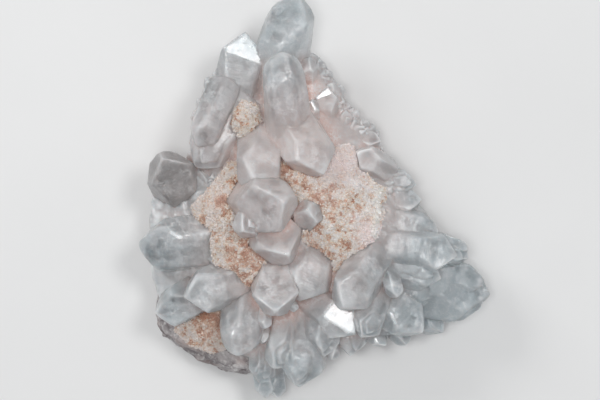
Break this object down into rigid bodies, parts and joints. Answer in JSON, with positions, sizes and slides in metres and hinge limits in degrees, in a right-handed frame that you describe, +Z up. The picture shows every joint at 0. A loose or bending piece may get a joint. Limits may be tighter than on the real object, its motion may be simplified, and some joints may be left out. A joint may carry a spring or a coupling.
{
  "type": "rhodochrosite on quartz mineral specimen",
  "caption": "Cabinet mineral specimen: a crowd of milky quartz crystals with crusts of pink rhodochrosite on a slab of grey matrix with a sawn flat back.",
  "frame": {"origin": "under the middle of the bounding box, in the plane of the sawn back that the specimen rests on", "axes": "+Y the way the tallest crystal points, +X to the right of it, +Z up out of the crystals' side"},
  "size_m": [0.0899, 0.1018, 0.0401],
  "materials": {
    "quartz": "frosted, milky, see-through at thin edges",
    "smoky_quartz": "smooth, smoky, see-through",
    "rhodochrosite": "granular, sugary, cream to salmon pink with rust-orange grains",
    "matrix": "rough broken rock, sawn on the back"
  },
  "bodies": {
    "root": {"matrix": "matrix", "quartz_cluster": "quartz", "centre_crystals": "quartz", "small_clear_crystal": "quartz", "smoky_crystal": "smoky_quartz", "left_long_crystal": "quartz", "lower_left_crystals": "quartz", "lower_long_crystal": "quartz", "pyramid_crystal": "quartz", "crust_left": "rhodochrosite", "crust_right": "rhodochrosite", "crust_upper": "rhodochrosite", "crust_lower": "rhodochrosite"}
  },
  "joints": []
}
